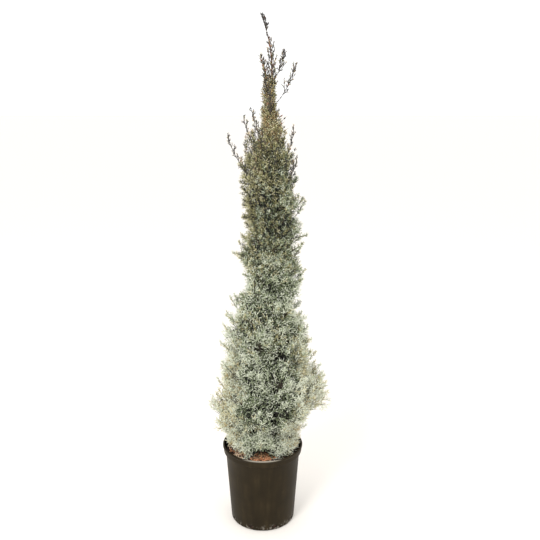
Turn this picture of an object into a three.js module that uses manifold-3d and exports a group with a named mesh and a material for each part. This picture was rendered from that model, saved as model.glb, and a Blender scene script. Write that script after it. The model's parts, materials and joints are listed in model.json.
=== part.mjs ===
// A young Arizona cypress in a round nursery pot: one slim trunk, ascending boughs, and a narrow
// column of separate foliage plumes that spreads over the pot and thins out to a bare leader.
// Millimetres, +Z up. The origin is the centre of the pot's flat underside, and the tree is seen
// from -Y in its usual view, with +X to the right.

import * as THREE from "three";
import { mergeVertices } from "three/addons/utils/BufferGeometryUtils.js";
import Module from "manifold-3d";

const wasm = await Module();
wasm.setup();

// Driving dimensions

const CLEARANCE = 0.3; // between two pieces that meet
const MERGE = 1e-3; // corners nearer to each other than this are one corner
const GOLDEN_SHARE = (3 - Math.sqrt(5)) / 2; // of a turn, from one twig to the next

const POT = {
  height: 266,
  lipRadius: 132, // outside of the lip, the widest ring of the pot
  lipHeight: 9,
  collarRadius: 129,
  collarHeight: 24, // stacking collar under and including the lip
  shoulderDrop: 4, // slope from the collar in to the body
  bodyRadius: 122, // outside, just under the collar
  baseRadius: 105, // outside, where the wall turns into the underside
  baseRounding: 7,
  wall: 3,
  floor: 4,
  sides: 36,
};
const DRAIN = { count: 8, width: 18, height: 11, sill: 7, depth: 24 };

const SOIL = {
  level: 241.5, // at the pot's wall
  crest: 248, // round the trunk
  crestRadius: 30,
};

const TRUNK = {
  tip: 1546, // end of the woody leader
  top: 1626, // end of the sprig that goes on from it
  footRadius: 10.5,
  tipRadius: 1.3,
  taper: 0.85,
  flare: 6, // extra radius of the root flare at the soil
  flareFade: 16, // height over which the flare dies away
  lean: 30, // how far the stem stands off to the right at most
  leanDone: 0.6, // share of the height where it has that much
  nod: 37, // how far the leader then bends back to the left
  nodStart: 0.88,
  sway: 5, // front to back
  sides: 8,
  steps: 26,
};
const FOOT = SOIL.crest + CLEARANCE; // flat cut of the trunk on the soil

// Height against the crown's reach from the trunk, to the right and to the left.
const OUTLINE = [
  [248, 112, 112],
  [311, 122, 130],
  [366, 126, 152],
  [396, 186, 164],
  [424, 204, 180],
  [455, 222, 140],
  [480, 214, 136],
  [563, 168, 150],
  [618, 144, 130],
  [700, 114, 114],
  [778, 98, 104],
  [830, 101, 76],
  [934, 78, 98],
  [1008, 100, 80],
  [1107, 78, 98],
  [1203, 64, 92],
  [1250, 48, 82],
  [1286, 38, 70],
  [1321, 34, 48],
  [1367, 30, 36],
  [1440, 24, 26],
  [1546, 16, 14],
  [1626, 8, 8],
];

// Plumes of foliage, set round the trunk by the golden angle from the pot up.
const PLUME = {
  lowest: 286, // height of the first ring's middles
  ring: 6, // plumes in that ring
  ringRise: 48, // from the ring to the next plume
  area: 26000, // of the crown's surface to each plume
  middle: 0.56, // how far out its middle is, as a share of the outline
  stemTip: 0.84, // and the tip of its stem
  climb: 0.55, // rise of a stem for the distance it goes out, low in the crown
  topClimb: 1.7,
  steeper: [1136, 1386], // heights between which stems get that steep
  highest: 1400,
  turn: 80, // degrees, start of the golden spiral
  boughs: 9, // the first plumes over the ring hang on boughs of their own
  boughShare: 0.27, // share of the stem that is the bough
  margin: 0.4, // from a plume to the middle between it and the next
};
// Thin shoots that stand out of the crown: the heights where each leaves the trunk and ends, its
// bearing in degrees, and how far from the trunk it ends.
const SHOOTS = [
  [1080, 1262, 180, 132],
  [1150, 1318, 158, 92],
  [1196, 1342, 208, 66],
  [1130, 1282, 10, 68],
  [1060, 1200, 342, 78],
  [1284, 1404, 84, 54],
  [1290, 1396, 264, 46],
  [1352, 1466, 340, 72],
  [1340, 1452, 232, 36],
  [1404, 1492, 152, 31],
  [1424, 1506, 28, 44],
];
const SHOOT = {
  bendHeight: 0.3, // where it turns up, as shares of its rise and its reach
  bendReach: 0.62,
  middle: 0.84, // share of the stem where its middle is taken
  radius: 1.7,
};
const STEM = {
  boughRadius: 4,
  footRadius: 2.6,
  tipRadius: 0.9,
  boughSides: 6,
  sides: 3,
  steps: 4,
};
const CORE = {
  around: 12, // teeth and valleys round the lump, by turns
  rings: 5,
  inner: 0.27, // shares of the outline that the lump keeps to
  valley: 0.7,
  valleyDepth: 0.82, // share of the free length in a valley
  uneven: 0.14, // how much of the reach a short tooth leaves free
};
const TWIG = {
  lowest: 280, // height of the first tip on the crown's outline
  area: 4700, // of the crown's surface to each tip of a dense plume
  fanLift: 0.5, // how much a plume looks up
  longest: 130,
  shootCount: 8, // twigs on a thin shoot
  shootLongest: 36,
  spread: 40, // degrees between a shoot and its twig
  lift: 0.3,
  shortest: 12,
  thickness: 0.085, // radius as a share of the length
  thickest: 5.5,
  widest: 0.6, // share of its length where a spray is thickest
  sidePlace: 0.62, // where on the twig its side spray is
  sideSpread: 46,
  sideLength: 0.42,
  uneven: 0.05, // how much of the reach a short twig leaves free
};

// Repeatable random numbers from 0 to 1.
function randomStream(seed) {
  const multiplier = 16807;
  const modulus = 2147483647;
  let state = seed;
  const next = () => {
    state = (state * multiplier) % modulus;
    return state / modulus;
  };
  next();
  next();
  return next;
}

const UP_Y = new THREE.Vector3(0, 1, 0);
const smoothstep = (x) => x * x * (3 - 2 * x);
const clamp01 = (x) => Math.min(1, Math.max(0, x));
const mix = THREE.MathUtils.lerp;
const radians = THREE.MathUtils.degToRad;

// Shared solid tools

// A closed geometry as a solid: shared corners are merged and collapsed faces are dropped.
function solidOf(geometry) {
  const bare = geometry.clone();
  bare.deleteAttribute("normal");
  bare.deleteAttribute("uv");
  const merged = mergeVertices(bare, MERGE);
  const index = merged.index.array;
  const kept = [];
  for (let i = 0; i < index.length; i += 3) {
    const [a, b, c] = index.slice(i, i + 3);
    if (a !== b && b !== c && c !== a) kept.push(a, b, c);
  }
  return new wasm.Manifold(
    new wasm.Mesh({
      numProp: 3,
      vertProperties: new Float32Array(merged.attributes.position.array),
      triVerts: new Uint32Array(kept),
    }),
  );
}

function geometryOf(solid) {
  const made = solid.getMesh();
  const geometry = new THREE.BufferGeometry();
  geometry.setAttribute("position", new THREE.BufferAttribute(made.vertProperties, 3));
  geometry.setIndex(new THREE.BufferAttribute(made.triVerts, 1));
  const faceted = geometry.toNonIndexed();
  faceted.computeVertexNormals();
  return faceted;
}

// The largest single body of a solid, with any hollow inside it filled and loose scraps dropped.
function mainBody(solid) {
  const largest = (bodies) => bodies.reduce((best, body) => (body.volume() > best.volume() ? body : best));
  const merged = solidOf(geometryOf(largest(solid.decompose())));
  return largest(merged.decompose());
}

// A profile of [radius, height] points turned about the pot's axis.
function turned(points) {
  const profile = points.map(([radius, height]) => new THREE.Vector2(radius, height));
  return new THREE.LatheGeometry(profile, POT.sides).rotateX(Math.PI / 2);
}

// One tapering limb: a rod bent along a curve, radiusAt(t) thick from its foot (0) to its tip (1).
function limb(curve, radiusAt, sides, steps) {
  const rod = new THREE.CylinderGeometry(1, 1, 1, sides, steps);
  const frames = curve.computeFrenetFrames(steps);
  const corners = rod.getAttribute("position");
  for (let i = 0; i < corners.count; i++) {
    const t = corners.getY(i) + 0.5;
    const step = Math.round(t * steps);
    const radius = radiusAt(t);
    const corner = curve.getPointAt(t);
    corner.addScaledVector(frames.normals[step], radius * corners.getX(i));
    corner.addScaledVector(frames.binormals[step], -radius * corners.getZ(i));
    corners.setXYZ(i, corner.x, corner.y, corner.z);
  }
  return rod;
}

// Part of a curve, as a curve.
class Stretch extends THREE.Curve {
  constructor(whole, from, to) {
    super();
    Object.assign(this, { whole, from, to });
  }
  getPoint(t) {
    return this.whole.getPoint(mix(this.from, this.to, t));
  }
}

// Pot and soil

// Outside radius of the pot's body at a height under the collar.
function bodyRadius(height) {
  const shoulder = POT.height - POT.collarHeight - POT.shoulderDrop;
  return mix(POT.baseRadius, POT.bodyRadius, height / shoulder);
}

function potGeometry() {
  const { height, wall, floor, baseRounding, lipRadius, lipHeight, collarRadius } = POT;
  const collarFoot = height - POT.collarHeight;
  const shoulder = collarFoot - POT.shoulderDrop;
  const quarter = [0, 0.5, 1].map((share) => (share * Math.PI) / 2);
  const base = quarter.map((angle) => [
    bodyRadius(baseRounding) - baseRounding * (1 - Math.sin(angle)),
    baseRounding * (1 - Math.cos(angle)),
  ]);
  const lip = [
    [collarRadius, height - lipHeight],
    [lipRadius, height - lipHeight + 2],
    [lipRadius, height - 2],
    [lipRadius - 1.5, height],
    [collarRadius - wall + 1, height],
    [collarRadius - wall, height - 2],
  ];
  const shell = solidOf(
    turned([
      [0, 0],
      ...base,
      [POT.bodyRadius, shoulder],
      [collarRadius, collarFoot],
      ...lip,
      [collarRadius - wall, collarFoot - wall / 2],
      [POT.bodyRadius - wall, shoulder - wall / 2],
      [bodyRadius(floor) - wall, floor],
      [0, floor],
    ]),
  );
  const cutter = new THREE.BoxGeometry(DRAIN.depth, DRAIN.width, DRAIN.height);
  cutter.translate(bodyRadius(DRAIN.sill), 0, DRAIN.sill + DRAIN.height / 2);
  let drained = shell;
  for (let i = 0; i < DRAIN.count; i++) {
    const turnedCutter = cutter.clone().rotateZ(((i + 0.5) / DRAIN.count) * 2 * Math.PI);
    drained = drained.subtract(solidOf(turnedCutter));
  }
  return geometryOf(drained);
}

function soilGeometry() {
  const { floor, wall } = POT;
  const inside = (height) => bodyRadius(height) - wall - CLEARANCE;
  const collarFoot = POT.height - POT.collarHeight;
  const shoulder = collarFoot - POT.shoulderDrop;
  const underCollar = shoulder - wall / 2;
  const collarInside = POT.collarRadius - wall - CLEARANCE;
  return turned([
    [0, floor + CLEARANCE],
    [inside(floor), floor + CLEARANCE],
    [inside(underCollar), underCollar],
    [collarInside, collarFoot - wall / 2 + CLEARANCE],
    [collarInside, SOIL.level],
    [mix(SOIL.crestRadius, collarInside, 0.5), mix(SOIL.level, SOIL.crest, 0.35)],
    [SOIL.crestRadius, SOIL.crest],
    [0, SOIL.crest],
  ]);
}

// Trunk

const shareOfHeight = (height) => (height - FOOT) / (TRUNK.top - FOOT);

// Centre of the stem at a height.
function stemCentre(height) {
  const share = shareOfHeight(height);
  const bend = clamp01((share - TRUNK.nodStart) / (1 - TRUNK.nodStart));
  const x = TRUNK.lean * smoothstep(clamp01(share / TRUNK.leanDone)) - TRUNK.nod * bend * bend;
  const y = TRUNK.sway * Math.sin(2 * Math.PI * share) * smoothstep(clamp01(share * 3));
  return new THREE.Vector3(x, y, height);
}

function trunkRadius(height) {
  const thinning = Math.pow(clamp01(shareOfHeight(height)), TRUNK.taper);
  const flare = TRUNK.flare * Math.exp(-(height - FOOT) / TRUNK.flareFade);
  return mix(TRUNK.footRadius, TRUNK.tipRadius, thinning) + flare;
}

class TrunkLine extends THREE.Curve {
  constructor(from, to) {
    super();
    Object.assign(this, { from, to });
  }
  getPoint(t) {
    return stemCentre(mix(this.from, this.to, t));
  }
}

function trunkGeometry(extra) {
  const line = new TrunkLine(FOOT, TRUNK.tip + extra);
  const radiusAt = (t) => trunkRadius(line.getPointAt(t).z) + extra;
  return limb(line, radiusAt, TRUNK.sides, TRUNK.steps);
}

// Crown

// Reach of the crown from the trunk at a height, towards a bearing.
function outlineRadius(height, bearing) {
  const above = OUTLINE.findIndex(([level]) => level >= height);
  const high = OUTLINE.at(above);
  const low = OUTLINE[Math.max(0, above < 0 ? OUTLINE.length - 1 : above - 1)];
  const share = clamp01((height - low[0]) / (high[0] - low[0] || 1));
  const right = mix(low[1], high[1], share);
  const left = mix(low[2], high[2], share);
  return mix(left, right, (1 + Math.cos(bearing)) / 2);
}

// Lowest height that foliage may have at a distance from the pot's axis.
function potTop(radius) {
  const insideLip = POT.collarRadius - 30;
  return SOIL.crest + 6 + 1.1 * Math.max(0, radius - insideLip);
}

// Bearing and distance of a point from the stem's centre at its height.
function aboutTrunk(point) {
  const centre = stemCentre(point.z);
  const dx = point.x - centre.x;
  const dy = point.y - centre.y;
  return { bearing: Math.atan2(dy, dx), radius: Math.hypot(dx, dy) };
}

const meanReach = (height) => (outlineRadius(height, 0) + outlineRadius(height, Math.PI)) / 2;

// Rise from one point of a golden spiral over the crown to the next, for the surface that each has.
const spiralRise = (height, area) => area / (2 * Math.PI * meanReach(height));
const spiralBearing = (order) => radians(PLUME.turn) + 2 * Math.PI * GOLDEN_SHARE * order;

// A point at a height, out from the trunk by a distance, or by a share of the outline.
function outBy(height, bearing, radius) {
  const point = stemCentre(height);
  point.x += radius * Math.cos(bearing);
  point.y += radius * Math.sin(bearing);
  return point;
}
const outFrom = (height, bearing, share) => outBy(height, bearing, share * outlineRadius(height, bearing));

// A dense plume, on a stem that goes from the middle of the trunk out and up through its own middle.
function densePlume(height, bearing, order) {
  const [from, to] = PLUME.steeper;
  const climb = mix(PLUME.climb, PLUME.topClimb, smoothstep(clamp01((height - from) / (to - from))));
  const reach = outlineRadius(height, bearing);
  const middle = outFrom(height, bearing, PLUME.middle);
  const foot = stemCentre(Math.max(FOOT + 6, height - climb * PLUME.middle * reach));
  const tipHeight = height + 1.5 * climb * (PLUME.stemTip - PLUME.middle) * reach;
  const tip = outFrom(tipHeight, bearing, PLUME.stemTip);
  const bend = middle.clone().multiplyScalar(2).addScaledVector(foot, -0.5).addScaledVector(tip, -0.5);
  return {
    bearing,
    middle,
    dense: true,
    reach: 1,
    stem: new THREE.QuadraticBezierCurve3(foot, bend, tip),
    footRadius: STEM.footRadius,
    tips: [],
    boughed: order >= PLUME.ring && order < PLUME.ring + PLUME.boughs,
    random: randomStream(9173 + 311 * order),
  };
}

// A thin shoot with no core, that goes out and then turns up, whatever the outline.
function shootPlume([footHeight, tipHeight, degrees, reach], order) {
  const bearing = radians(degrees);
  const stem = new THREE.QuadraticBezierCurve3(
    stemCentre(footHeight),
    outBy(mix(footHeight, tipHeight, SHOOT.bendHeight), bearing, SHOOT.bendReach * reach),
    outBy(tipHeight, bearing, reach),
  );
  return {
    bearing,
    middle: stem.getPoint(SHOOT.middle),
    dense: false,
    reach: Infinity,
    stem,
    footRadius: SHOOT.radius,
    tips: [],
    boughed: false,
    random: randomStream(9173 + 311 * order),
  };
}

function makePlumes() {
  const made = [];
  for (let i = 0; i < PLUME.ring; i++) {
    made.push(densePlume(PLUME.lowest, (2 * Math.PI * (i + 0.5)) / PLUME.ring, i));
  }
  let height = PLUME.lowest + PLUME.ringRise;
  while (height < PLUME.highest) {
    made.push(densePlume(height, spiralBearing(made.length), made.length));
    height += spiralRise(height, PLUME.area);
  }
  for (const row of SHOOTS) made.push(shootPlume(row, made.length));
  return made;
}
const plumes = makePlumes();

// Twig tips over the outline, by the golden angle too, each for the dense plume that is nearest to it.
function dealTips() {
  const densePlumes = plumes.filter((plume) => plume.dense);
  const nearer = (tip) => (best, plume) =>
    plume.middle.distanceTo(tip) < best.middle.distanceTo(tip) ? plume : best;
  let height = TWIG.lowest;
  for (let order = 0; height < PLUME.highest; order++) {
    const tip = outFrom(height, spiralBearing(order), 1);
    densePlumes.reduce(nearer(tip)).tips.push(tip);
    height += spiralRise(height, TWIG.area);
  }
}
dealTips();

// Distance from a point of a plume to the half-way plane to the nearest other plume, to the pot or
// to the leader's own sprig.
function roomAt(plume, point) {
  let room = Math.min(point.z - potTop(Math.hypot(point.x, point.y)), TRUNK.tip - point.z);
  for (const other of plumes) {
    if (other === plume) continue;
    const apart = other.middle.distanceTo(plume.middle);
    const nearer = point.distanceToSquared(other.middle) - point.distanceToSquared(plume.middle);
    room = Math.min(room, nearer / (2 * apart));
  }
  return room - PLUME.margin;
}

// How far one can go from a point before leaving a plume's own space or the allowed shares of the reach.
function freeLength(plume, from, direction, longest, inner, outer) {
  const step = 2;
  let length = 0;
  while (length < longest) {
    const ahead = from.clone().addScaledVector(direction, length + step);
    const { bearing, radius } = aboutTrunk(ahead);
    const share = radius / outlineRadius(ahead.z, bearing);
    if (roomAt(plume, ahead) < 0 || share < inner || share > outer) break;
    length += step;
  }
  return length;
}

// Outward and upward, the way a plume's foliage looks.
function outlook(plume) {
  return new THREE.Vector3(Math.cos(plume.bearing), Math.sin(plume.bearing), TWIG.fanLift).normalize();
}

// How far a twig or tooth reaches, as a share of the outline.
const unevenReach = (plume, uneven) => plume.reach - uneven * plume.random();

// The dense inside of a plume: a toothed lump that swells from its middle to fill the space.
function coreGeometry(plume) {
  const { around, rings } = CORE;
  const lump = new THREE.SphereGeometry(1, around, rings);
  lump.applyQuaternion(new THREE.Quaternion().setFromUnitVectors(UP_Y, outlook(plume)));
  const reaches = Array.from({ length: around * (rings + 1) }, () => unevenReach(plume, CORE.uneven));
  const corners = lump.getAttribute("position");
  for (let i = 0; i < corners.count; i++) {
    const ring = Math.floor(i / (around + 1));
    const place = i % (around + 1) % around;
    const tooth = (ring + place) % 2 === 1 && ring > 0 && ring < rings;
    const way = new THREE.Vector3().fromBufferAttribute(corners, i);
    const outer = tooth ? reaches[ring * around + place] : CORE.valley;
    const free = freeLength(plume, plume.middle, way, TWIG.longest, CORE.inner, outer);
    const corner = plume.middle.clone().addScaledVector(way, tooth ? free : CORE.valleyDepth * free);
    corners.setXYZ(i, corner.x, corner.y, corner.z);
  }
  return lump;
}

// One spray: a three-sided spindle from a root point along a direction.
function spray(root, direction, length, radius) {
  const profile = [
    new THREE.Vector2(0, 0),
    new THREE.Vector2(radius, length * TWIG.widest),
    new THREE.Vector2(0, length),
  ];
  const spindle = new THREE.LatheGeometry(profile, 3);
  spindle.applyQuaternion(new THREE.Quaternion().setFromUnitVectors(UP_Y, direction));
  return spindle.translate(root.x, root.y, root.z);
}

// A twig and its side sprays, each as long as the space allows, or skipped.
function twigSprays(plume, root, direction, longest) {
  const sprays = [];
  const reach = unevenReach(plume, TWIG.uneven);
  const turn = plume.random() * 2 * Math.PI;
  const addSpray = (from, way, most) => {
    const length = freeLength(plume, from, way, most, 0, reach);
    const radius = Math.min(TWIG.thickest, length * TWIG.thickness);
    const thickest = from.clone().addScaledVector(way, length * TWIG.widest);
    if (length < TWIG.shortest || roomAt(plume, thickest) < radius) return 0;
    sprays.push(solidOf(spray(from, way, length, radius)));
    return length;
  };
  const length = addSpray(root, direction, longest);
  const sideways = new THREE.Vector3(0, 0, 1).cross(direction).normalize().applyAxisAngle(direction, turn);
  const from = root.clone().addScaledVector(direction, length * TWIG.sidePlace);
  const way = direction.clone().applyAxisAngle(sideways, radians(TWIG.sideSpread));
  addSpray(from, way, length * TWIG.sideLength);
  return sprays;
}

// A direction at an angle from a main one, turned round it.
function offAxis(axis, angle, turn) {
  const across = new THREE.Vector3(0, 0, 1).cross(axis).normalize().applyAxisAngle(axis, turn);
  return axis.clone().multiplyScalar(Math.cos(angle)).addScaledVector(across, Math.sin(angle));
}

// Direction of a twig that leaves a thin stem at t.
function roundStem(stem, t, k, phase) {
  const way = offAxis(stem.getTangent(t), radians(TWIG.spread), 2 * Math.PI * (phase + k * GOLDEN_SHARE));
  way.z += TWIG.lift;
  return way.normalize();
}

// The stretch of a plume's stem that is a separate bough.
function boughGeometry(plume, extra) {
  const curve = new Stretch(plume.stem, 0, PLUME.boughShare + extra / 100);
  const radiusAt = (t) => mix(STEM.boughRadius, STEM.footRadius, t) + extra;
  return limb(curve, radiusAt, STEM.boughSides, STEM.steps);
}

// A plume's own stem, from its bough or the trunk to its tip.
function stemSolid(plume, extra) {
  const line = new Stretch(plume.stem, plume.boughed ? PLUME.boughShare : 0, 1);
  const radiusAt = (t) => mix(plume.footRadius, STEM.tipRadius, t) + extra;
  return solidOf(limb(line, radiusAt, STEM.sides, STEM.steps));
}

function plumeSolid(plume) {
  const { dense, stem } = plume;
  const pieces = [stemSolid(plume, 0)];
  if (dense) {
    pieces.push(solidOf(coreGeometry(plume)));
    for (const tip of plume.tips) {
      const way = tip.clone().sub(plume.middle).normalize();
      pieces.push(...twigSprays(plume, plume.middle, way, TWIG.longest));
    }
  } else {
    const phase = plume.random();
    for (let k = 0; k < TWIG.shootCount; k++) {
      const t = mix(0.4, 0.95, k / TWIG.shootCount);
      pieces.push(...twigSprays(plume, stem.getPointAt(t), roundStem(stem, t, k, phase), TWIG.shootLongest));
    }
  }
  return wasm.Manifold.union(pieces);
}

// The sprig that carries the leader on above the trunk's woody tip.
function tipSprig() {
  const line = new TrunkLine(TRUNK.tip, TRUNK.top);
  const pieces = [solidOf(limb(line, (t) => mix(TRUNK.tipRadius * 1.6, 0.5, t), STEM.sides, STEM.steps))];
  const places = [0.15, 0.35, 0.55, 0.72];
  places.forEach((t, k) => {
    const direction = roundStem(line, t, k, 0);
    pieces.push(solidOf(spray(line.getPointAt(t), direction, 26 * (1.1 - 0.6 * t), 1.9)));
  });
  return wasm.Manifold.union(pieces);
}

// Assembly

const LOOKS = {
  pot: { color: 0x3a322a, roughness: 0.55, metalness: 0 }, // dark brown-black moulded plastic
  soil: { color: 0x4a3122, roughness: 0.95, metalness: 0 }, // damp potting mix
  bark: { color: 0x6b4a35, roughness: 0.85, metalness: 0 },
  foliage: { color: 0x8b967f, roughness: 0.8, metalness: 0 }, // glaucous grey-green
};

function place(group, name, geometry, look) {
  const mesh = new THREE.Mesh(geometry, new THREE.MeshStandardMaterial(look));
  mesh.name = name;
  group.add(mesh);
}

const container = new THREE.Group();
place(container, "pot", potGeometry(), LOOKS.pot);
place(container, "soil", soilGeometry(), LOOKS.soil);

const wood = new THREE.Group();
const crown = new THREE.Group();
place(wood, "trunk", trunkGeometry(0), LOOKS.bark);

const trunkSpace = solidOf(trunkGeometry(CLEARANCE));
const boughed = plumes.filter((plume) => plume.boughed);
const boughSpaces = boughed.map((plume) => solidOf(boughGeometry(plume, CLEARANCE)));
const limbSpace = wasm.Manifold.union([trunkSpace, ...boughSpaces]);
const shoots = plumes.filter((plume) => !plume.dense);

plumes.forEach((plume, i) => {
  const number = String(i + 1).padStart(2, "0");
  if (plume.boughed) {
    const bough = mainBody(solidOf(boughGeometry(plume, 0)).subtract(trunkSpace));
    place(wood, `bough_${number}`, geometryOf(bough), LOOKS.bark);
  }
  const otherShoots = shoots.filter((shoot) => shoot !== plume).map((shoot) => stemSolid(shoot, CLEARANCE));
  const taken = wasm.Manifold.union([limbSpace, ...otherShoots]);
  const foliage = mainBody(plumeSolid(plume).subtract(taken));
  place(crown, `foliage_${number}`, geometryOf(foliage), LOOKS.foliage);
});
place(crown, "leader_tip_foliage", geometryOf(mainBody(tipSprig().subtract(trunkSpace))), LOOKS.foliage);

const pottedTree = new THREE.Group();
pottedTree.add(container, wood, crown);

export default pottedTree;
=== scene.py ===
# Arizona cypress in a nursery pot: pot, potting mix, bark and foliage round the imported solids.

import json
import math

import bpy
import numpy as np
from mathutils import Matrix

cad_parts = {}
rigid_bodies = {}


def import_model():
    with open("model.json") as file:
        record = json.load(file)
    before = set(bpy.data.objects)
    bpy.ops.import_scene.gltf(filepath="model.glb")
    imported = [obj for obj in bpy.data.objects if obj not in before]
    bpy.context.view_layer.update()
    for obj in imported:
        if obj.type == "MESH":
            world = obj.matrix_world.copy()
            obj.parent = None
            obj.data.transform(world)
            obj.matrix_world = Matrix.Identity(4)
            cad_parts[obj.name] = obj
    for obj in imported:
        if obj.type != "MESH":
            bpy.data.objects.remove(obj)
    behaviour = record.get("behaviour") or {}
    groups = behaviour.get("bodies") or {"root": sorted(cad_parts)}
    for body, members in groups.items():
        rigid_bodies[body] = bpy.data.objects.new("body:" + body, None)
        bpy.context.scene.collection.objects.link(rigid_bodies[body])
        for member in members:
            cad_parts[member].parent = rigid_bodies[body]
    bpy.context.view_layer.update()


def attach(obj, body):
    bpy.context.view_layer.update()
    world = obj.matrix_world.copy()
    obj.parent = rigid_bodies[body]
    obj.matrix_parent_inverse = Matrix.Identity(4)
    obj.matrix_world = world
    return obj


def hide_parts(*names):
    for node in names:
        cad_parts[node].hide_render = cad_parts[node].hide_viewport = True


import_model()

mm = 0.001  # sizes in the dictionaries are millimetres, apart from the stage and the camera's place
goldenTurn = math.pi * (3 - math.sqrt(5))
zUp = np.array([0.0, 0.0, 1.0])


# Small tools

def hexColor(code):
    parts = [int(code[i:i + 2], 16) / 255 for i in (1, 3, 5)]
    linear = [p / 12.92 if p <= 0.04045 else ((p + 0.055) / 1.055) ** 2.4 for p in parts]
    return (*linear, 1)


def newMaterial(name, settings):
    material = bpy.data.materials.new(name)
    material.use_nodes = True
    tree = material.node_tree
    shader = tree.nodes["Principled BSDF"]
    for key, value in settings.items():
        shader.inputs[key].default_value = value
    return material, tree, shader


def addNode(tree, kind, settings, links):
    made = tree.nodes.new(kind)
    for key, value in settings.items():
        if key in made.inputs:
            made.inputs[key].default_value = value
        else:
            setattr(made, key, value)
    for key, source in links.items():
        tree.links.new(source, made.inputs[key])
    return made


def setRamp(ramp, stops):
    elements = ramp.color_ramp.elements
    while len(elements) < len(stops):
        elements.new(1)
    for element, (place, code) in zip(elements, stops):
        element.position = place
        element.color = hexColor(code)


def settle(piece, slot, *nodes):
    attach(piece, "root")
    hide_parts(*nodes)


def newObject(name, data):
    made = bpy.data.objects.new(name, data)
    bpy.context.scene.collection.objects.link(made)
    return made


def selectOnly(piece):
    bpy.ops.object.select_all(action="DESELECT")
    piece.select_set(True)
    bpy.context.view_layer.objects.active = piece


def applyModifiers(piece):
    bpy.context.view_layer.objects.active = piece
    for modifier in list(piece.modifiers):
        bpy.ops.object.modifier_apply(modifier=modifier.name)


# A closed round body: a disc drawn up, in and down through rings of (radius, height).
def ringedBody(name, rings, sides):
    radius, height = rings[0]
    bpy.ops.object.select_all(action="DESELECT")
    bpy.ops.mesh.primitive_circle_add(
        vertices=sides, radius=radius * mm, fill_type="NGON", location=(0, 0, height * mm))
    piece = bpy.context.object
    piece.name = name
    bpy.ops.object.transform_apply(location=True, rotation=False, scale=False)
    bpy.ops.object.mode_set(mode="EDIT")
    bpy.ops.mesh.select_all(action="SELECT")
    for nextRadius, nextHeight in rings[1:]:
        rise = (0, 0, (nextHeight - height) * mm)
        growth = nextRadius / radius
        bpy.ops.mesh.extrude_region_move(TRANSFORM_OT_translate={"value": rise})
        bpy.ops.transform.resize(value=(growth, growth, 1), center_override=(0, 0, nextHeight * mm))
        radius, height = nextRadius, nextHeight
    bpy.ops.mesh.select_all(action="SELECT")
    bpy.ops.mesh.normals_make_consistent(inside=False)
    bpy.ops.object.mode_set(mode="OBJECT")
    return piece


def arc(centre, radius, start, end, steps):
    turns = [math.radians(start + (end - start) * i / steps) for i in range(steps + 1)]
    return [(centre[0] + radius * math.cos(a), centre[1] + radius * math.sin(a)) for a in turns]


# Nursery pot

pot = {
    "height": 266, "lipRadius": 132, "lipHeight": 9, "lipRounding": 2.5, "lipRise": 4, "mouthRounding": 2,
    "collarRadius": 129, "collarHeight": 24, "collarEase": (0.6, 3), "shoulderDrop": 4,
    "bodyRadius": 122, "baseRadius": 105, "baseRounding": 7, "wallRings": (60, 120, 180),
    "wall": 3, "floor": 4, "sides": 128, "edge": 0.8, "edgeAngle": 40, "smoothAngle": 35,
    "drainCount": 8, "drainWidth": 18, "drainHeight": 11, "drainSill": 7, "drainDepth": 24,
    "drainRounding": 3.5, "drainSteps": 4, "edgeSteps": 2,
}
pot["collarFoot"] = pot["height"] - pot["collarHeight"]
pot["shoulder"] = pot["collarFoot"] - pot["shoulderDrop"]


def potRadius(height):
    return pot["baseRadius"] + (pot["bodyRadius"] - pot["baseRadius"]) * height / pot["shoulder"]


def potRings():
    top, wall, rounding = pot["height"], pot["wall"], pot["baseRounding"]
    collar, bead, mouth = pot["collarRadius"], pot["lipRounding"], pot["mouthRounding"]
    lip, lipFoot = pot["lipRadius"] - bead, top - pot["lipHeight"]
    easeIn, easeUp = pot["collarEase"]
    return [
        *arc((potRadius(rounding) - rounding, rounding), rounding, -90, 0, 6),
        *[(potRadius(height), height) for height in pot["wallRings"]],
        (pot["bodyRadius"], pot["shoulder"]),
        (collar - easeIn, pot["collarFoot"]),
        (collar, pot["collarFoot"] + easeUp),
        (collar, lipFoot),
        *arc((lip, lipFoot + pot["lipRise"]), bead, -60, 0, 3),
        *arc((lip, top - bead), bead, 0, 90, 4),
        *arc((collar - wall + mouth, top - mouth), mouth, 90, 180, 4),  # down into the pot
        (collar - wall, pot["collarFoot"] - wall / 2),
        (pot["bodyRadius"] - wall, pot["shoulder"] - wall / 2),
        (potRadius(pot["floor"]) - wall, pot["floor"]),
    ]


# Rounded cutters through the foot of the wall, one for each drain hole, joined.
def drainCutters():
    size = (pot["drainDepth"] * mm, pot["drainWidth"] * mm, pot["drainHeight"] * mm)
    away = potRadius(pot["drainSill"]) * mm
    height = (pot["drainSill"] + pot["drainHeight"] / 2) * mm
    cutters = []
    for i in range(pot["drainCount"]):
        turn = 2 * math.pi * (i + 0.5) / pot["drainCount"]
        spot = (away * math.cos(turn), away * math.sin(turn), height)
        bpy.ops.object.select_all(action="DESELECT")
        bpy.ops.mesh.primitive_cube_add(size=1, location=spot, rotation=(0, 0, turn), scale=size)
        bpy.ops.object.transform_apply(location=True, rotation=True, scale=True)
        cutter = bpy.context.object
        rounding = cutter.modifiers.new("rounding", "BEVEL")
        rounding.width = pot["drainRounding"] * mm
        rounding.segments = pot["drainSteps"]
        applyModifiers(cutter)
        cutters.append(cutter)
    for cutter in cutters:
        cutter.select_set(True)
    bpy.ops.object.join()
    return bpy.context.object


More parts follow.
